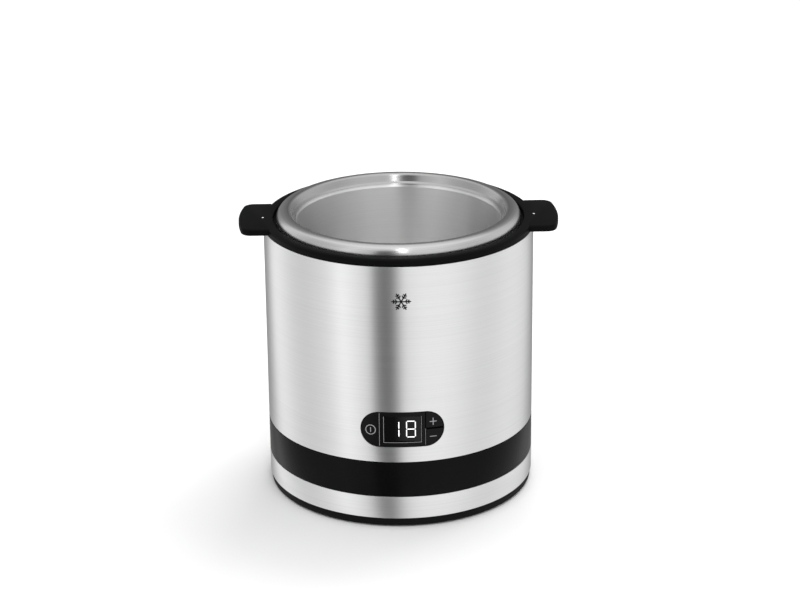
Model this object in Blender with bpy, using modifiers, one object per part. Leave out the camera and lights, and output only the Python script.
"""A compact frozen-yogurt maker: a motor base that turns a double-walled freezer bowl.

The origin is the centre of the footprint, at the height of the surface the feet stand on.
The control panel faces -Y, and the two ears of the top ring point along X.
"""

import math

import bmesh
import bpy
from mathutils import Matrix, Vector

MM = 0.001
MERGE = 0.00001
GAP = 0.3 * MM
HALF_GAP = GAP / 2
ROUND_STEPS = 32
HUB_STEPS = 20
PIN_STEPS = 12
FLAT_WITHIN = math.radians(0.5)
SMOOTH_BELOW = math.radians(32)

# The body, from the table up. Each seam is the middle of a hairline gap.
BODY_RADIUS = 71.0 * MM
SHEET = 0.6 * MM
SLEEVE_INNER = BODY_RADIUS - SHEET
BASE_UNDERSIDE = 0.7 * MM
SEAM_BASE = 5.0 * MM
SEAM_BAND_LOW = 17.5 * MM
SEAM_BAND_HIGH = 37.0 * MM
SEAM_RING = 144.1 * MM
RING_TOP = 147.8 * MM
HOUSING_RADIUS = SLEEVE_INNER - GAP
HOUSING_INNER = 67.9 * MM
HOUSING_TOP = 70.0 * MM
BASE_TOP = SEAM_BASE - HALF_GAP

# The well that the bowl stands in.
WELL_FLOOR = 50.0 * MM
WELL_UNDERSIDE = 48.0 * MM
WELL_WALL = 2.0 * MM
WELL_WIDE = 62.3 * MM
WELL_NARROW = 56.0 * MM
WELL_CONE_TOP = 84.0 * MM
WELL_CONE_FOOT = 70.0 * MM
WELL_RIM = 143.7 * MM
HUB_BORE = 6.0 * MM

# The freezer bowl.
RIM_RADIUS = 64.4 * MM
RIM_TOP = 152.3 * MM
RIM_ROLL = 3.0 * MM
BOWL_SHEET = 0.6 * MM
BOWL_MOUTH = 53.4 * MM
BOWL_FOOT = 50.5 * MM
BOWL_FLOOR = 72.0 * MM
BOWL_CORNER = 12.0 * MM
JACKET_RADIUS = 60.5 * MM
JACKET_FLOOR = 61.0 * MM

# The drive: turntable, shaft and a two-stage gear train.
SHAFT_RADIUS = 3.0 * MM
SHAFT_BORE = 3.35 * MM
TURNTABLE_LOW = 52.9 * MM
TURNTABLE_TOP = 55.5 * MM
DOG_CIRCLE = 26.0 * MM
DOG_RADIUS = 3.5 * MM
DOG_COUNT = 3
MODULE = 1.0 * MM
PRESSURE_ANGLE = math.radians(25)
ADDENDUM = 0.8 * MODULE
DEDENDUM = 1.1 * MODULE
BACKLASH = 0.5 * MM
OUTPUT_TEETH = 42
IDLER_SMALL_TEETH = 12
IDLER_BIG_TEETH = 36
PINION_TEETH = 10
LOW_STAGE = (25.0 * MM, 30.0 * MM)
HIGH_STAGE = (31.0 * MM, 36.0 * MM)
IDLER_BEARING = math.radians(60)
MOTOR_BEARING = 0.0
IDLER_DISTANCE = MODULE * (OUTPUT_TEETH + IDLER_SMALL_TEETH) / 2
MOTOR_DISTANCE = MODULE * (IDLER_BIG_TEETH + PINION_TEETH) / 2
IDLER_AT = Vector((math.cos(IDLER_BEARING), math.sin(IDLER_BEARING))) * IDLER_DISTANCE
MOTOR_AT = IDLER_AT + Vector((math.cos(MOTOR_BEARING), math.sin(MOTOR_BEARING))) * MOTOR_DISTANCE
PLATE_LOW = 22.3 * MM
PLATE_TOP = 23.7 * MM
PLATE_SCREWS_AT = [
    Vector((-24.0, -12.0)) * MM,
    Vector((24.0, -18.0)) * MM,
    Vector((-14.0, 38.0)) * MM,
    Vector((30.0, 44.0)) * MM,
]
MOTOR_SCREW_REACH = 13.0 * MM
PAST_GEARS = (20.0 * MM, 45.0 * MM)
MOTOR_SCREWS_AT = [MOTOR_AT + Vector((0, side * MOTOR_SCREW_REACH)) for side in (-1, 1)]

# Long screws tie the base plate, the lower housing and the well together.
TIE_CIRCLE = 63.5 * MM
FOOT_CIRCLE = 50.0 * MM
CORNER_BEARINGS = [math.radians(45 + 90 * quarter) for quarter in range(4)]
TIE_HOLE = 1.8 * MM
TIE_BOSS = 4.0 * MM
RIB_HALF_WIDTH = 2.0 * MM
SCREW_HEAD = 1.4 * MM

# The control panel: a pill set flush in the upper sleeve.
PANEL_Z = 55.4 * MM
PANEL_HALF_LENGTH = 21.7 * MM
PANEL_HALF_HEIGHT = 9.75 * MM
PANEL_FLANGE = 2.5 * MM
PANEL_SPLIT = 11.75 * MM
WINDOW_HALF_WIDTH = 9.85 * MM
WINDOW_HALF_HEIGHT = 7.4 * MM
TRAY_RADIUS = 68.6 * MM
BUTTON_INNER = 69.4 * MM
BUTTON_SPLIT = 0.35 * MM
STEM_RADIUS = 1.5 * MM
STEM_HOLE = 2.0 * MM
STEM_END_Y = -64.4 * MM
BOARD_FRONT_Y = -60.0 * MM
BOARD_THICKNESS = 1.2 * MM
PAST_PANEL = (50.0 * MM, 80.0 * MM)
BUTTONS = {
    "power": Vector((-16.5 * MM, PANEL_Z)),
    "plus": Vector((15.9 * MM, PANEL_Z + 4.2 * MM)),
    "minus": Vector((15.9 * MM, PANEL_Z - 4.2 * MM)),
}

# The mains lead's grommet, in the back of the black band.
GLAND_Z = (SEAM_BAND_LOW + SEAM_BAND_HIGH) / 2
GLAND_HOLE = 5.3 * MM
PAST_BACK_WALL = (60.0 * MM, 80.0 * MM)

# The power board, on posts on the base plate.
BOARD_X = (-46.0 * MM, -6.0 * MM)
BOARD_Y = (-36.0 * MM, 4.0 * MM)
BOARD_Z = (8.0 * MM, 9.6 * MM)

# Each finish: colour, roughness, metallic.
FINISHES = {
    "brushed_steel": ((0.72, 0.72, 0.73), 0.30, 1.0),
    "bowl_steel": ((0.66, 0.66, 0.66), 0.28, 1.0),
    "black_plastic": ((0.012, 0.012, 0.013), 0.45, 0.0),
    "panel_black": ((0.008, 0.008, 0.009), 0.25, 0.0),
    "display_glass": ((0.010, 0.010, 0.012), 0.08, 0.0),
    "display_block": ((0.60, 0.60, 0.62), 0.50, 0.0),
    "rubber": ((0.020, 0.020, 0.021), 0.80, 0.0),
    "white_gear": ((0.80, 0.79, 0.74), 0.45, 0.0),
    "shaft_steel": ((0.58, 0.58, 0.60), 0.30, 1.0),
    "bronze": ((0.55, 0.36, 0.16), 0.40, 1.0),
    "zinc_plate": ((0.62, 0.63, 0.65), 0.42, 1.0),
    "circuit_board": ((0.02, 0.16, 0.06), 0.50, 0.0),
    "component_black": ((0.02, 0.02, 0.022), 0.55, 0.0),
    "copper_winding": ((0.60, 0.24, 0.09), 0.35, 1.0),
    "ferrite": ((0.07, 0.07, 0.08), 0.60, 0.0),
    "fuse_glass": ((0.80, 0.84, 0.85), 0.10, 0.0),
    "grey_cable": ((0.30, 0.30, 0.31), 0.60, 0.0),
    "coolant_gel": ((0.20, 0.45, 0.70), 0.30, 0.0),
}


def new_collection(name):
    made = bpy.data.collections.new(name)
    bpy.context.scene.collection.children.link(made)
    return made


for leftover in list(bpy.data.objects):
    bpy.data.objects.remove(leftover, do_unlink=True)
PARTS = new_collection("yogurt_maker")
CUTTERS = new_collection("cutters")


def material(part_name, finish):
    """A material of the part's own, with the colour, roughness and metallic value of its finish."""
    colour, roughness, metallic = FINISHES[finish]
    made = bpy.data.materials.new(part_name)
    made.use_nodes = True
    shader = made.node_tree.nodes["Principled BSDF"]
    shader.inputs["Base Color"].default_value = (*colour, 1.0)
    shader.inputs["Roughness"].default_value = roughness
    shader.inputs["Metallic"].default_value = metallic
    return made


def place(name, mesh, finish):
    """Put a mesh in the scene: a part with its finish, or a hidden helper when finish is None."""
    obj = bpy.data.objects.new(name, mesh)
    if finish is None:
        CUTTERS.objects.link(obj)
        obj.hide_render = True
        obj.display_type = "WIRE"
    else:
        PARTS.objects.link(obj)
        mesh.materials.append(material(name, finish))
    return obj


def boolean(obj, operation, other):
    modifier = obj.modifiers.new(other.name, "BOOLEAN")
    modifier.operation = operation
    modifier.object = other
    return obj


def cut(obj, cutter):
    return boolean(obj, "DIFFERENCE", cutter)


def weld(obj, addition):
    return boolean(obj, "UNION", addition)


def keep(obj, inside):
    return boolean(obj, "INTERSECT", inside)


def arc(centre, radius, start, end, segments):
    """Points of an arc in a plane, angles in degrees."""
    angles = [math.radians(start + (end - start) * step / segments) for step in range(segments + 1)]
    return [(centre[0] + radius * math.cos(a), centre[1] + radius * math.sin(a)) for a in angles]


def screw_profile(name, profile, finish, steps, closed):
    mesh = bpy.data.meshes.new(name)
    points = [(radius, 0, height) for radius, height in profile]
    edges = [(index, index + 1) for index in range(len(points) - 1)]
    if closed:
        edges.append((len(points) - 1, 0))
    mesh.from_pydata(points, edges, [])
    obj = place(name, mesh, finish)
    screw = obj.modifiers.new("turn", "SCREW")
    screw.steps = steps
    screw.render_steps = steps
    screw.use_merge_vertices = True
    screw.merge_threshold = MERGE
    return obj


def turned_ring(name, profile, finish=None, steps=ROUND_STEPS):
    """A ring turned about Z. Its closed profile runs down the outer side and up the inner."""
    return screw_profile(name, profile, finish, steps, closed=True)


def turned_solid(name, profile, finish=None, steps=ROUND_STEPS):
    """A solid turned about Z. Its profile starts and ends on the axis, and runs down the outer side."""
    return screw_profile(name, profile, finish, steps, closed=False)


def turned_sheet(name, profile, thickness, finish, side):
    """A sheet turned about Z. Its thickness lies inside its profile (side -1) or outside it (side 1)."""
    obj = screw_profile(name, profile, finish, ROUND_STEPS, closed=False)
    solidify = obj.modifiers.new("thickness", "SOLIDIFY")
    solidify.thickness = thickness
    solidify.offset = side
    return obj


def tube(name, inner, outer, low, high, finish=None, steps=ROUND_STEPS):
    return turned_ring(name, [(outer, high), (outer, low), (inner, low), (inner, high)], finish, steps)


def at(obj, centre, height=0.0):
    obj.location = (centre[0], centre[1], height)
    return obj


def rods(name, centres, radius, low, high, finish=None, steps=PIN_STEPS):
    """One mesh of upright cylinders that stand clear of each other, for cutting or joining together."""
    shape = bmesh.new()
    for centre in centres:
        middle = Matrix.Translation((centre[0], centre[1], (low + high) / 2))
        bmesh.ops.create_cone(
            shape,
            cap_ends=True,
            segments=steps,
            radius1=radius,
            radius2=radius,
            depth=high - low,
            matrix=middle,
        )
    mesh = bpy.data.meshes.new(name)
    shape.to_mesh(mesh)
    shape.free()
    return place(name, mesh, finish)


def rod_along_y(name, centre, radius, start, end, finish=None, steps=PIN_STEPS):
    """A cylinder along Y. Its centre is (x, z)."""
    shape = bmesh.new()
    turn = Matrix.Rotation(math.radians(90), 4, "X")
    middle = Matrix.Translation((centre[0], (start + end) / 2, centre[1]))
    bmesh.ops.create_cone(
        shape,
        cap_ends=True,
        segments=steps,
        radius1=radius,
        radius2=radius,
        depth=abs(end - start),
        matrix=middle @ turn,
    )
    mesh = bpy.data.meshes.new(name)
    shape.to_mesh(mesh)
    shape.free()
    return place(name, mesh, finish)


def boxes(name, ranges, finish=None):
    """One mesh of boxes that stand clear of each other. Each is (x range, y range, z range)."""
    shape = bmesh.new()
    for spans in ranges:
        middle = Matrix.Translation([(low + high) / 2 for low, high in spans])
        size = Matrix.Diagonal([high - low for low, high in spans] + [1])
        bmesh.ops.create_cube(shape, size=1, matrix=middle @ size)
    mesh = bpy.data.meshes.new(name)
    shape.to_mesh(mesh)
    shape.free()
    return place(name, mesh, finish)


def box(name, x_range, y_range, z_range, finish=None, edge=0.0):
    obj = boxes(name, [(x_range, y_range, z_range)], finish)
    if edge:
        bevel = obj.modifiers.new("edges", "BEVEL")
        bevel.width = edge
        bevel.segments = 1
    return obj


def spokes(name, inner, outer, half_width, low, high):
    """Radial bars at the four corners, as one helper."""
    shape = bmesh.new()
    for bearing in CORNER_BEARINGS:
        turn = Matrix.Rotation(bearing, 4, "Z")
        middle = Matrix.Translation(((inner + outer) / 2, 0, (low + high) / 2))
        size = Matrix.Diagonal((outer - inner, 2 * half_width, high - low, 1))
        bmesh.ops.create_cube(shape, size=1, matrix=turn @ middle @ size)
    mesh = bpy.data.meshes.new(name)
    shape.to_mesh(mesh)
    shape.free()
    return place(name, mesh, None)


def flat_plate(name, outline, low, high, finish=None, edge=0.0):
    """A flat outline in the XY plane, extruded from low to high, with its edges eased by edge."""
    curve = bpy.data.curves.new(name, "CURVE")
    curve.dimensions = "2D"
    curve.fill_mode = "BOTH"
    curve.extrude = (high - low) / 2 - edge
    curve.bevel_depth = edge
    curve.bevel_resolution = 0
    spline = curve.splines.new("POLY")
    spline.points.add(len(outline) - 1)
    for point, (x, y) in zip(spline.points, outline):
        point.co = (x, y, 0, 1)
    spline.use_cyclic_u = True
    guide = bpy.data.objects.new(name + "_outline", curve)
    CUTTERS.objects.link(guide)
    bpy.context.view_layer.update()
    mesh = bpy.data.meshes.new_from_object(guide.evaluated_get(bpy.context.evaluated_depsgraph_get()))
    bpy.data.objects.remove(guide)
    mesh.name = name
    shape = bmesh.new()
    shape.from_mesh(mesh)
    bmesh.ops.remove_doubles(shape, verts=shape.verts, dist=MERGE)
    bmesh.ops.translate(shape, verts=shape.verts, vec=(0, 0, (low + high) / 2))
    shape.to_mesh(mesh)
    shape.free()
    mesh.materials.clear()
    return place(name, mesh, finish)


def on_circle(radius, bearings):
    return [Vector((math.cos(bearing), math.sin(bearing))) * radius for bearing in bearings]


def flat_head_screw(name, centre, head_low, head_high, tip, finish, head=3.3 * MM, shank=1.5 * MM):
    """A screw along Z with a flat head, whose shank runs from the head to the tip."""
    if tip > head_high:
        profile = [(0, tip), (shank, tip), (shank, head_high), (head, head_high)]
        profile += [(head, head_low), (0, head_low)]
    else:
        profile = [(0, head_high), (head, head_high), (head, head_low), (shank, head_low)]
        profile += [(shank, tip), (0, tip)]
    return at(turned_solid(name, profile, finish, PIN_STEPS), centre)


# Casing


def make_feet():
    radius = 6.5 * MM
    chamfer = 0.6 * MM
    top = 2.2 * MM
    profile = [(0, top), (radius, top), (radius, chamfer), (radius - chamfer, 0), (0, 0)]
    for number, centre in enumerate(on_circle(FOOT_CIRCLE, CORNER_BEARINGS), start=1):
        at(turned_solid(f"rubber_foot_{number}", profile, "rubber", PIN_STEPS), centre)


def make_base_plate():
    rim = 70.3 * MM
    chamfer = 0.6 * MM
    foot_recess = (6.8 * MM, 2.5 * MM)
    head_recess = (3.8 * MM, 3.4 * MM)
    post = (2.0 * MM, 3.0 * MM)
    post_inset = 4.0 * MM
    plate = rods("base_plate", [(0, 0)], rim, BASE_UNDERSIDE, BASE_TOP, "black_plastic", ROUND_STEPS)
    bevel = plate.modifiers.new("edges", "BEVEL")
    bevel.width = chamfer
    bevel.segments = 1
    below = -BASE_UNDERSIDE
    feet = on_circle(FOOT_CIRCLE, CORNER_BEARINGS)
    ties = on_circle(TIE_CIRCLE, CORNER_BEARINGS)
    posts = [(x, y) for x in (BOARD_X[0] + post_inset, BOARD_X[1] - post_inset)
             for y in (BOARD_Y[0] + post_inset, BOARD_Y[1] - post_inset)]
    weld(plate, rods("board_posts", posts, post[0], post[1], BOARD_Z[0] - GAP))
    cut(plate, rods("foot_recesses", feet, foot_recess[0], below, foot_recess[1]))
    cut(plate, rods("tie_head_recesses", ties, head_recess[0], below, head_recess[1]))
    cut(plate, rods("tie_holes", ties, TIE_HOLE, below, 2 * BASE_TOP))
    slot_pitch = 5.0 * MM
    slot_half_width = 1.1 * MM
    slot_ends = (4.0 * MM, 22.0 * MM)
    slots = []
    for row in range(-3, 4):
        middle = row * slot_pitch
        y_range = (middle - slot_half_width, middle + slot_half_width)
        slots.append((slot_ends, y_range, (below, 2 * BASE_TOP)))
    cut(plate, boxes("vent_slots", slots))


def make_tie_screws():
    head_low = 1.7 * MM
    tip = 53.0 * MM
    for number, centre in enumerate(on_circle(TIE_CIRCLE, CORNER_BEARINGS), start=1):
        flat_head_screw(f"tie_screw_{number}", centre, head_low, head_low + SCREW_HEAD, tip, "zinc_plate")


def make_lower_housing():
    """The moulded tub behind both sleeves. Its thick belt is the black band between them."""
    low = SEAM_BASE + HALF_GAP
    band = (SEAM_BAND_LOW + HALF_GAP, SEAM_BAND_HIGH - HALF_GAP)
    profile = [(HOUSING_RADIUS, HOUSING_TOP), (HOUSING_RADIUS, band[1]), (BODY_RADIUS, band[1])]
    profile += [(BODY_RADIUS, band[0]), (HOUSING_RADIUS, band[0]), (HOUSING_RADIUS, low)]
    profile += [(HOUSING_INNER, low), (HOUSING_INNER, HOUSING_TOP)]
    housing = turned_ring("lower_housing", profile, "black_plastic")
    boss_top = WELL_UNDERSIDE - GAP
    ties = on_circle(TIE_CIRCLE, CORNER_BEARINGS)
    weld(housing, spokes("tie_ribs", TIE_CIRCLE, HOUSING_INNER + MM, RIB_HALF_WIDTH, low + MM, boss_top - MM))
    weld(housing, rods("tie_bosses", ties, TIE_BOSS, low, boss_top))
    cut(housing, rods("tie_boss_holes", ties, TIE_HOLE, 0, HOUSING_TOP))
    cut(housing, panel_prism("housing_window", GAP))
    cut(housing, rod_along_y("gland_hole", (0, GLAND_Z), GLAND_HOLE, *PAST_BACK_WALL, steps=HUB_STEPS))


def make_sleeves():
    lower_span = (SEAM_BASE + HALF_GAP, SEAM_BAND_LOW - HALF_GAP)
    upper_span = (SEAM_BAND_HIGH + HALF_GAP, SEAM_RING - HALF_GAP)
    tube("lower_sleeve", SLEEVE_INNER, BODY_RADIUS, *lower_span, "brushed_steel")
    upper = tube("upper_sleeve", SLEEVE_INNER, BODY_RADIUS, *upper_span, "brushed_steel")
    cut(upper, panel_prism("sleeve_window", GAP))


def ear_outline(side):
    """One ear from above: parallel sides, rounded corners and an end that follows the casing's curve."""
    root = 67.2 * MM
    half_width = 21.0 * MM
    reach = 83.4 * MM
    corner = 5.0 * MM
    corner_y = half_width - corner
    corner_x = math.sqrt((reach - corner) ** 2 - corner_y**2)
    lean = math.degrees(math.atan2(corner_y, corner_x))
    outline = [(root, -half_width)]
    outline += arc((corner_x, -corner_y), corner, -90, -lean, 4)
    outline += arc((0, 0), reach, -lean, lean, 4)[1:-1]
    outline += arc((corner_x, corner_y), corner, lean, 90, 4)
    outline += [(root, half_width)]
    return outline if side > 0 else [(-x, y) for x, y in reversed(outline)]


def make_top_ring():
    """The ring that caps the sleeve. Its lip covers the well's edge, and its two ears seat the lid."""
    low = SEAM_RING + HALF_GAP
    ease = 0.6 * MM
    land_inner = 66.0 * MM
    skirt = (139.0 * MM, 68.3 * MM)
    lip = (62.7 * MM, WELL_RIM + GAP, 145.1 * MM)
    profile = [(BODY_RADIUS - 2 * ease, RING_TOP), (BODY_RADIUS - ease / 2, RING_TOP - ease / 2)]
    profile += [(BODY_RADIUS, RING_TOP - 2 * ease), (BODY_RADIUS, low), (HOUSING_RADIUS, low)]
    profile += [(HOUSING_RADIUS, skirt[0]), (skirt[1], skirt[0]), (skirt[1], lip[1])]
    profile += [(lip[0], lip[1]), (lip[0], lip[2]), (land_inner, lip[2]), (land_inner, RING_TOP - ease)]
    profile += [(land_inner + ease, RING_TOP)]
    ring = turned_ring("top_ring", profile, "black_plastic")
    for side, name in ((-1, "left_ear"), (1, "right_ear")):
        weld(ring, flat_plate(name, ear_outline(side), low, RING_TOP, edge=ease))


def make_bowl_well():
    """The liner that the bowl stands in, with a shaft hub, and bosses that hang the gear plate."""
    wide = WELL_WIDE + WELL_WALL
    narrow = WELL_NARROW + WELL_WALL
    flange = (66.0 * MM, WELL_RIM - 1.5 * MM)
    hub = 9.0 * MM
    hub_low = 44.0 * MM
    collar = (8.0 * MM, 52.0 * MM)
    profile = [(flange[0], WELL_RIM), (flange[0], flange[1]), (wide, flange[1]), (wide, WELL_CONE_TOP)]
    profile += [(narrow, WELL_CONE_FOOT), (narrow, WELL_UNDERSIDE), (hub, WELL_UNDERSIDE), (hub, hub_low)]
    profile += [(HUB_BORE, hub_low), (HUB_BORE, collar[1]), (collar[0], collar[1]), (collar[0], WELL_FLOOR)]
    profile += [(WELL_NARROW, WELL_FLOOR), (WELL_NARROW, WELL_CONE_FOOT), (WELL_WIDE, WELL_CONE_TOP)]
    profile += [(WELL_WIDE, WELL_RIM)]
    well = turned_ring("bowl_well", profile, "black_plastic")
    lug_low = WELL_UNDERSIDE
    lug_top = 56.0 * MM
    tie_hole_top = 53.5 * MM
    plate_boss = 3.5 * MM
    plate_hole_top = 34.0 * MM
    ties = on_circle(TIE_CIRCLE, CORNER_BEARINGS)
    inside_floor = WELL_UNDERSIDE + MM
    weld(well, spokes("well_lugs", WELL_NARROW + MM, TIE_CIRCLE, TIE_BOSS - GAP, lug_low, lug_top))
    weld(well, rods("well_lug_ends", ties, TIE_BOSS, lug_low, lug_top))
    weld(well, rods("gear_plate_bosses", PLATE_SCREWS_AT, plate_boss, PLATE_TOP + GAP, inside_floor))
    cut(well, rods("well_tie_holes", ties, TIE_HOLE, lug_low - MM, tie_hole_top))
    cut(well, rods("boss_holes", PLATE_SCREWS_AT, TIE_HOLE, PLATE_TOP - MM, plate_hole_top))


# Bowl


def bowl_profile():
    """The bowl's visible side: rolled rim, slope, ledge, wall, rounded corner and floor."""
    roll_centre = (RIM_RADIUS - RIM_ROLL, RIM_TOP - RIM_ROLL)
    slope = [(57.8 * MM, 150.2 * MM), (56.0 * MM, 149.0 * MM), (55.4 * MM, 147.6 * MM)]
    ledge = [(54.2 * MM, 147.1 * MM), (BOWL_MOUTH, 145.4 * MM)]
    profile = arc(roll_centre, RIM_ROLL, -50, 125, 6) + slope + ledge
    profile += arc((BOWL_FOOT - BOWL_CORNER, BOWL_FLOOR + BOWL_CORNER), BOWL_CORNER, 0, -90, 3)
    profile += [(0, BOWL_FLOOR)]
    return profile


def make_bowl():
    turned_sheet("bowl_inner_shell", bowl_profile(), BOWL_SHEET, "bowl_steel", side=1)
    jacket_top = 146.5 * MM
    corner = (53.5 * MM, 68.0 * MM)
    knee = (49.0 * MM, 62.2 * MM)
    foot = (46.0 * MM, JACKET_FLOOR)
    jacket = [(JACKET_RADIUS, jacket_top), (JACKET_RADIUS, WELL_CONE_TOP), corner, knee, foot]
    jacket += [(0, JACKET_FLOOR)]
    turned_sheet("bowl_outer_shell", jacket, BOWL_SHEET, "bowl_steel", side=-1)


def make_coolant():
    """The gel between the bowl's two shells, with an air space above it."""
    clear = BOWL_SHEET + GAP + 0.1 * MM
    level = 138.0 * MM
    floor = JACKET_FLOOR + BOWL_SHEET + GAP
    wall = JACKET_RADIUS - clear
    inner_wall_at_level = 54.1 * MM
    cone_top = WELL_CONE_TOP + 0.2 * MM
    corner = (52.5 * MM, 68.4 * MM)
    knee = (48.3 * MM, 63.0 * MM)
    foot = (45.6 * MM, floor)
    profile = [(0, BOWL_FLOOR - clear)]
    profile += arc((BOWL_FOOT - BOWL_CORNER, BOWL_FLOOR + BOWL_CORNER), BOWL_CORNER + clear, -90, 0, 3)
    profile += [(inner_wall_at_level, level), (wall, level), (wall, cone_top), corner, knee, foot, (0, floor)]
    turned_solid("coolant_gel", profile, "coolant_gel")


def make_bowl_fittings():
    gasket_inner = 55.0 * MM
    gasket = (141.0 * MM, 146.0 * MM)
    tube("bowl_rim_gasket", gasket_inner, JACKET_RADIUS - BOWL_SHEET - GAP, *gasket, "rubber")
    low = TURNTABLE_TOP + GAP
    high = JACKET_FLOOR - GAP
    outer = 40.0 * MM
    inner = 12.0 * MM
    chamfer = 1.5 * MM
    profile = [(outer, high), (outer, low + chamfer), (outer - chamfer, low), (inner, low), (inner, high)]
    socket = turned_ring("bowl_drive_socket", profile, "black_plastic")
    cut(socket, rods("dog_pockets", dog_centres(), DOG_RADIUS + 2 * GAP, low - MM, high + MM))


# Drive


def dog_centres():
    return on_circle(DOG_CIRCLE, [math.radians(90 + 360 * dog / DOG_COUNT) for dog in range(DOG_COUNT)])


def make_turntable():
    radius = 46.0 * MM
    hub = (8.0 * MM, 59.0 * MM)
    bore_top = 58.3 * MM
    dog_top = 60.0 * MM
    profile = [(0, hub[1]), (hub[0], hub[1]), (hub[0], TURNTABLE_TOP), (radius, TURNTABLE_TOP)]
    profile += [(radius, TURNTABLE_LOW), (SHAFT_BORE, TURNTABLE_LOW), (SHAFT_BORE, bore_top), (0, bore_top)]
    table = turned_solid("turntable", profile, "black_plastic")
    weld(table, rods("dogs", dog_centres(), DOG_RADIUS, TURNTABLE_LOW + MM, dog_top))


def make_drive_shaft():
    low = 19.6 * MM
    top = 58.0 * MM
    groove_depth = 2.4 * MM
    groove = (20.6 * MM, 21.4 * MM)
    clip = (20.7 * MM, 21.3 * MM)
    clip_radius = 5.0 * MM
    profile = [(0, top), (SHAFT_RADIUS, top), (SHAFT_RADIUS, groove[1]), (groove_depth, groove[1])]
    profile += [(groove_depth, groove[0]), (SHAFT_RADIUS, groove[0]), (SHAFT_RADIUS, low), (0, low)]
    turned_solid("drive_shaft", profile, "shaft_steel", HUB_STEPS)
    tube("shaft_clip", groove_depth + GAP, clip_radius, *clip, "shaft_steel", HUB_STEPS)


def make_bearings():
    outer = HUB_BORE - GAP
    bush = (44.3 * MM, 50.2 * MM)
    seal = (50.5 * MM, 52.3 * MM)
    tube("upper_bush", SHAFT_BORE, outer, *bush, "bronze", HUB_STEPS)
    tube("shaft_seal", SHAFT_BORE, outer, *seal, "rubber", HUB_STEPS)
    flange = 7.0 * MM
    sleeve = 5.0 * MM
    top = LOW_STAGE[0]
    seat = PLATE_TOP + GAP
    low = 21.8 * MM
    profile = [(flange, top), (flange, seat), (sleeve, seat), (sleeve, low), (SHAFT_BORE, low)]
    profile += [(SHAFT_BORE, top)]
    turned_ring("lower_bush", profile, "bronze", HUB_STEPS)


def involute(radius, base):
    ratio = max(radius / base, 1.0)
    return math.sqrt(ratio**2 - 1) - math.acos(1 / ratio)


def gear_outline(teeth, first_tooth):
    """Stub involute teeth. first_tooth is the bearing of the middle of one tooth."""
    pitch = MODULE * teeth / 2
    base = pitch * math.cos(PRESSURE_ANGLE)
    tip = pitch + ADDENDUM
    root = pitch - DEDENDUM
    knee = base if base > root else (root + tip) / 2
    half_tooth = (math.pi * MODULE - BACKLASH) / 4 / pitch
    radii = [root, knee, tip]
    half_angles = [half_tooth + involute(pitch, base) - involute(radius, base) for radius in radii]
    rising = list(zip(radii, [-angle for angle in half_angles]))
    falling = list(zip(reversed(radii), reversed(half_angles)))
    outline = []
    for tooth in range(teeth):
        middle = first_tooth + 2 * math.pi * tooth / teeth
        for radius, offset in rising + falling:
            outline.append((radius * math.cos(middle + offset), radius * math.sin(middle + offset)))
    return outline


def make_output_gear():
    hub_top = 40.0 * MM
    gear = flat_plate("output_gear", gear_outline(OUTPUT_TEETH, IDLER_BEARING), *HIGH_STAGE, "white_gear")
    weld(gear, rods("output_hub", [(0, 0)], HUB_BORE, LOW_STAGE[0] + GAP, hub_top, steps=HUB_STEPS))
    cut(gear, rods("output_bore", [(0, 0)], SHAFT_BORE, *PAST_GEARS, steps=HUB_STEPS))


def make_idler():
    """The compound gear: its small wheel meshes with the output gear, its big one with the pinion."""
    small_gap = IDLER_BEARING + math.pi + math.pi / IDLER_SMALL_TEETH
    small_low = LOW_STAGE[1] - 0.5 * MM
    small_high = HIGH_STAGE[1] + 0.5 * MM
    hub_radius = 3.2 * MM
    hub_low = PLATE_TOP + 0.4 * MM
    pin = 1.5 * MM
    bore_radius = pin + 0.35 * MM
    big = flat_plate("idler_gear", gear_outline(IDLER_BIG_TEETH, MOTOR_BEARING), *LOW_STAGE, "white_gear")
    small = flat_plate("idler_small_wheel", gear_outline(IDLER_SMALL_TEETH, small_gap), small_low, small_high)
    hub = rods("idler_hub", [(0, 0)], hub_radius, hub_low, small_high + GAP, steps=HUB_STEPS)
    bore = rods("idler_bore", [(0, 0)], bore_radius, *PAST_GEARS, steps=HUB_STEPS)
    for piece in (big, small, hub, bore):
        at(piece, IDLER_AT)
    weld(big, small)
    weld(big, hub)
    cut(big, bore)
    groove_depth = 1.0 * MM
    groove = (37.0 * MM, 38.0 * MM)
    head_radius = 3.0 * MM
    head = (20.9 * MM, PLATE_LOW - GAP)
    top = 38.6 * MM
    profile = [(0, top), (pin, top), (pin, groove[1]), (groove_depth, groove[1]), (groove_depth, groove[0])]
    profile += [(pin, groove[0]), (pin, head[1])]
    profile += [(head_radius, head[1]), (head_radius, head[0]), (0, head[0])]
    at(turned_solid("idler_axle", profile, "shaft_steel", PIN_STEPS), IDLER_AT)
    clip = (37.2 * MM, 37.8 * MM)
    at(tube("idler_clip", groove_depth + GAP, head_radius, *clip, "shaft_steel", PIN_STEPS), IDLER_AT)


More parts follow.
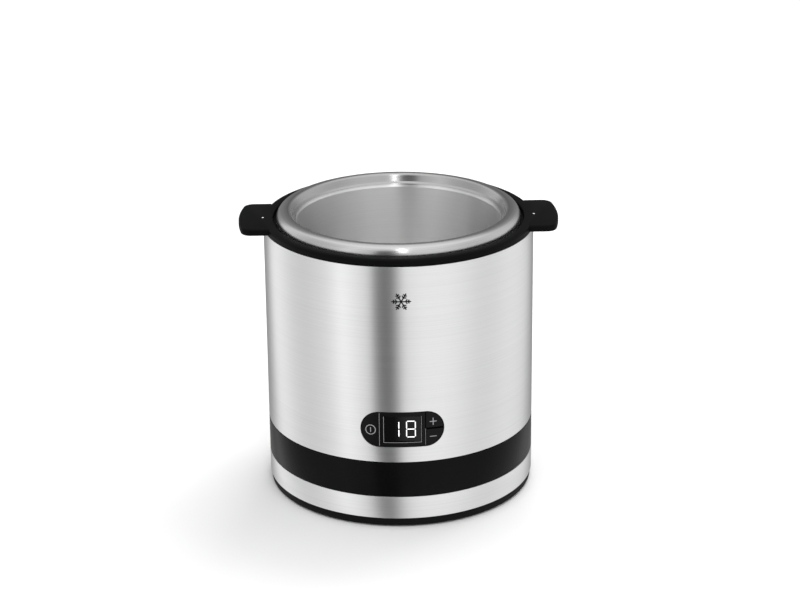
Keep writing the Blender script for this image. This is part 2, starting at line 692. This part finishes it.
def make_gear_plate():
    x_range = (-31.0 * MM, 46.0 * MM)
    y_range = (-27.0 * MM, 49.0 * MM)
    corner = 22.0 * MM
    bush_hole = 5.3 * MM
    pinion_hole = 5.0 * MM
    screw_tip = 33.0 * MM
    outline = arc((x_range[1] - corner, y_range[1] - corner), corner, 0, 90, 6)
    outline += arc((x_range[0] + corner, y_range[1] - corner), corner, 90, 180, 6)
    outline += arc((x_range[0] + corner, y_range[0] + corner), corner, 180, 270, 6)
    outline += arc((x_range[1] - corner, y_range[0] + corner), corner, 270, 360, 6)
    plate = flat_plate("gear_plate", outline, PLATE_LOW, PLATE_TOP, "zinc_plate")
    below = PLATE_LOW - MM
    above = PLATE_TOP + MM
    cut(plate, rods("bush_hole", [(0, 0)], bush_hole, below, above, steps=HUB_STEPS))
    cut(plate, rods("pinion_hole", [MOTOR_AT], pinion_hole, below, above))
    cut(plate, rods("screw_holes", PLATE_SCREWS_AT + MOTOR_SCREWS_AT + [IDLER_AT], TIE_HOLE, below, above))
    head_high = PLATE_LOW - GAP
    head_low = head_high - SCREW_HEAD
    for number, centre in enumerate(PLATE_SCREWS_AT, start=1):
        flat_head_screw(f"gear_plate_screw_{number}", centre, head_low, head_high, screw_tip, "zinc_plate")


def make_motor():
    radius = 18.0 * MM
    wall = 1.0 * MM
    top = PLATE_LOW - GAP
    low = 8.2 * MM
    neck = 3.5 * MM
    profile = [(radius, top), (radius, low), (radius - wall, low), (radius - wall, top - wall)]
    profile += [(neck, top - wall), (neck, top)]
    can = turned_ring("motor_can", profile, "zinc_plate", 2 * PIN_STEPS)
    at(can, MOTOR_AT)
    cut(can, rods("motor_screw_holes", MOTOR_SCREWS_AT, TIE_HOLE, top - 2 * wall, top + wall))
    pivot = 1.25 * MM
    cap_low = 6.5 * MM
    at(tube("motor_end_cap", pivot + GAP, radius, cap_low, low - GAP, "zinc_plate", 2 * PIN_STEPS), MOTOR_AT)
    coil_wall = (12.2 * MM, 16.6 * MM)
    coil = (9.0 * MM, 18.6 * MM)
    at(tube("motor_coil", *coil_wall, *coil, "copper_winding", 2 * PIN_STEPS), MOTOR_AT)
    magnet_radius = 11.5 * MM
    magnet = (9.4 * MM, 18.4 * MM)
    shaft_top = 30.6 * MM
    profile = [(0, shaft_top), (pivot, shaft_top), (pivot, magnet[1]), (magnet_radius, magnet[1])]
    profile += [(magnet_radius, magnet[0]), (pivot, magnet[0]), (pivot, cap_low), (0, cap_low)]
    at(turned_solid("motor_rotor", profile, "shaft_steel", HUB_STEPS), MOTOR_AT)
    tooth_gap = MOTOR_BEARING + math.pi + math.pi / PINION_TEETH
    pinion = flat_plate("motor_pinion", gear_outline(PINION_TEETH, tooth_gap), *LOW_STAGE, "white_gear")
    at(pinion, MOTOR_AT)
    cut(pinion, at(rods("pinion_bore", [(0, 0)], pivot + GAP, *PAST_GEARS), MOTOR_AT))
    head_low = PLATE_TOP + GAP
    head_high = head_low + SCREW_HEAD
    head_radius = 2.8 * MM
    tip = 19.2 * MM
    for number, centre in enumerate(MOTOR_SCREWS_AT, start=1):
        flat_head_screw(f"motor_screw_{number}", centre, head_low, head_high, tip, "zinc_plate", head_radius)


# Electronics


def make_power_board():
    """The board with a transformer, a capacitor, a terminal block and a fuse on it."""
    box("power_board", BOARD_X, BOARD_Y, BOARD_Z, "circuit_board")
    seat = BOARD_Z[1] + GAP
    transformer = ((-44.0 * MM, -26.0 * MM), (-28.0 * MM, -8.0 * MM), (seat, 20.6 * MM))
    box("power_transformer", *transformer, "ferrite", edge=1.0 * MM)
    terminals = ((-40.0 * MM, -26.0 * MM), (-5.0 * MM, 3.0 * MM), (seat, 17.0 * MM))
    box("terminal_block", *terminals, "component_black", edge=0.6 * MM)
    capacitor_at = (-16.0 * MM, -12.0 * MM)
    capacitor_radius = 5.0 * MM
    capacitor_top = 20.5 * MM
    rods("filter_capacitor", [capacitor_at], capacitor_radius, seat, capacitor_top, "component_black")
    fuse_x = -13.0 * MM
    fuse_radius = 2.5 * MM
    fuse_ends = (-4.0 * MM, 3.0 * MM)
    rod_along_y("mains_fuse", (fuse_x, seat + fuse_radius), fuse_radius, *fuse_ends, "fuse_glass")


def make_control_board():
    """The board behind the panel, its display module, and the window in front of that."""
    back = BOARD_FRONT_Y + BOARD_THICKNESS
    module_y = (-68.6 * MM, BOARD_FRONT_Y - GAP)
    lens_y = (-70.1 * MM, -69.1 * MM)
    module = (WINDOW_HALF_WIDTH - 0.8 * MM, WINDOW_HALF_HEIGHT - 0.6 * MM)
    lens = (WINDOW_HALF_WIDTH - GAP, WINDOW_HALF_HEIGHT - GAP)
    layers = {
        "control_board": ((19.0 * MM, 10.5 * MM), (BOARD_FRONT_Y, back), "circuit_board"),
        "display_module": (module, module_y, "display_block"),
        "display_lens": (lens, lens_y, "display_glass"),
    }
    for name, ((half_width, half_height), y_range, finish) in layers.items():
        box(name, (-half_width, half_width), y_range, (PANEL_Z - half_height, PANEL_Z + half_height), finish)


def make_switches():
    half = 2.25 * MM
    front = -62.8 * MM
    plunger_radius = 1.2 * MM
    plunger_tip = front - 0.8 * MM
    for name, (x, z) in BUTTONS.items():
        body_x = (x - half, x + half)
        body_z = (z - half, z + half)
        switch = box(f"switch_{name}", body_x, (front, BOARD_FRONT_Y - GAP), body_z, "component_black")
        reach = (plunger_tip, front + GAP)
        weld(switch, rod_along_y(f"plunger_{name}", (x, z), plunger_radius, *reach, steps=8))


def make_harness():
    """The wires from the control board down to the power board, as one round lead."""
    route = [(-8.0, -59.4, 42.8), (-9.0, -55.0, 30.0), (-12.0, -42.0, 17.0), (-15.0, -32.0, 11.6)]
    radius = 1.5 * MM
    curve = bpy.data.curves.new("control_harness", "CURVE")
    curve.dimensions = "3D"
    curve.bevel_depth = radius
    curve.bevel_resolution = 1
    curve.resolution_u = 4
    curve.use_fill_caps = True
    spline = curve.splines.new("BEZIER")
    spline.bezier_points.add(len(route) - 1)
    for point, place_at in zip(spline.bezier_points, route):
        point.co = Vector(place_at) * MM
        point.handle_left_type = "AUTO"
        point.handle_right_type = "AUTO"
    obj = bpy.data.objects.new("control_harness", curve)
    curve.materials.append(material("control_harness", "grey_cable"))
    PARTS.objects.link(obj)


def make_gland():
    """The mains lead's grommet, pushed through the back of the band from inside."""
    face = 70.5 * MM
    flange = (7.0 * MM, 67.0 * MM, 65.0 * MM)
    nose = (4.6 * MM, 60.0 * MM)
    bore = 3.4 * MM
    body = GLAND_HOLE - GAP
    profile = [(body, face), (body, flange[1]), (flange[0], flange[1]), (flange[0], flange[2])]
    profile += [(nose[0], flange[2]), (nose[0], nose[1]), (bore, nose[1]), (bore, face)]
    gland = turned_ring("cord_gland", profile, "rubber", HUB_STEPS)
    gland.rotation_euler = (math.radians(-90), 0, 0)
    gland.location = (0, 0, GLAND_Z)


# Control panel


def panel_prism(name, margin):
    """The pill outline, grown by margin, as a bar along Y through the front of the casing."""
    radius = PANEL_HALF_HEIGHT + margin
    end = PANEL_HALF_LENGTH - PANEL_HALF_HEIGHT
    outline = arc((end, 0), radius, -90, 90, 12) + arc((-end, 0), radius, 90, 270, 12)
    prism = flat_plate(name, outline, *PAST_PANEL)
    prism.rotation_euler = (math.radians(90), 0, 0)
    prism.location = (0, 0, PANEL_Z)
    return prism


def panel_layer(name, inner, outer, margin=0.0, finish=None):
    """A curved plate of pill outline, between two radii of the casing."""
    reach = 2 * PANEL_HALF_HEIGHT
    layer = tube(name, inner, outer, PANEL_Z - reach, PANEL_Z + reach, finish)
    return keep(layer, panel_prism(name + "_outline", margin))


def beyond_split(name, side, margin, z_range):
    """A block that covers the part of the panel past one side of its middle."""
    near = side * (PANEL_SPLIT + margin)
    far = side * 2 * PANEL_HALF_LENGTH
    return box(name, sorted((near, far)), (-PAST_PANEL[1], -PAST_PANEL[0]), z_range)


def make_panel_bezel():
    """The fixed part of the panel: a tray behind the buttons and a raised frame round the display."""
    flange_face = HOUSING_INNER - 0.4 * MM
    flange_back = 66.3 * MM
    everywhere = (0, 2 * PANEL_Z)
    through = (-PAST_PANEL[1], -PAST_PANEL[0])
    bezel = panel_layer("panel_bezel", flange_face - 0.2 * MM, BODY_RADIUS, finish="panel_black")
    for side, name in ((-1, "left_pocket"), (1, "right_pocket")):
        pocket = tube(name, TRAY_RADIUS, PAST_PANEL[1], *everywhere)
        keep(pocket, beyond_split(name + "_block", side, 0, everywhere))
        cut(bezel, pocket)
    weld(bezel, panel_layer("bezel_flange", flange_back, flange_face, PANEL_FLANGE))
    x_range = (-WINDOW_HALF_WIDTH, WINDOW_HALF_WIDTH)
    z_range = (PANEL_Z - WINDOW_HALF_HEIGHT, PANEL_Z + WINDOW_HALF_HEIGHT)
    cut(bezel, box("display_window", x_range, through, z_range))
    for name, centre in BUTTONS.items():
        cut(bezel, rod_along_y(f"stem_hole_{name}", centre, STEM_HOLE, *through))


def make_buttons():
    above = (PANEL_Z + BUTTON_SPLIT, 2 * PANEL_Z)
    below = (0, PANEL_Z - BUTTON_SPLIT)
    everywhere = (0, 2 * PANEL_Z)
    regions = {"power": (-1, everywhere), "plus": (1, above), "minus": (1, below)}
    for name, (side, z_range) in regions.items():
        button = panel_layer(f"button_{name}", BUTTON_INNER, BODY_RADIUS, finish="panel_black")
        keep(button, beyond_split(f"region_{name}", side, GAP, z_range))
        stem_start = -(BUTTON_INNER - 1.0 * MM)
        weld(button, rod_along_y(f"stem_{name}", BUTTONS[name], STEM_RADIUS, stem_start, STEM_END_Y))


def bake_parts():
    """Turn each part's modifiers into its own mesh, with whole flat faces, shaded smooth where round."""
    for obj in PARTS.objects:
        if obj.type == "MESH":
            flatten = obj.modifiers.new("flat_faces", "DECIMATE")
            flatten.decimate_type = "DISSOLVE"
            flatten.angle_limit = FLAT_WITHIN
    bpy.context.view_layer.update()
    graph = bpy.context.evaluated_depsgraph_get()
    baked = {
        obj: bpy.data.meshes.new_from_object(obj.evaluated_get(graph), depsgraph=graph)
        for obj in PARTS.objects
        if obj.type == "MESH"
    }
    for obj, mesh in baked.items():
        obj.modifiers.clear()
        obj.data = mesh
        mesh.shade_smooth()
        mesh.set_sharp_from_angle(angle=SMOOTH_BELOW)


def move_origin(name, point):
    """Put a part's origin at a point, and leave its shape where it is."""
    obj = bpy.data.objects[name]
    obj.data.transform(Matrix.Translation(-Vector(point)))
    obj.location = point


def main():
    make_feet()
    make_base_plate()
    make_tie_screws()
    make_lower_housing()
    make_sleeves()
    make_top_ring()
    make_bowl_well()
    make_bowl()
    make_coolant()
    make_bowl_fittings()
    make_turntable()
    make_drive_shaft()
    make_bearings()
    make_output_gear()
    make_idler()
    make_gear_plate()
    make_motor()
    make_power_board()
    make_control_board()
    make_switches()
    make_harness()
    make_gland()
    make_panel_bezel()
    make_buttons()
    bake_parts()
    for name, (x, z) in BUTTONS.items():
        move_origin(f"button_{name}", (x, -BODY_RADIUS, z))


main()
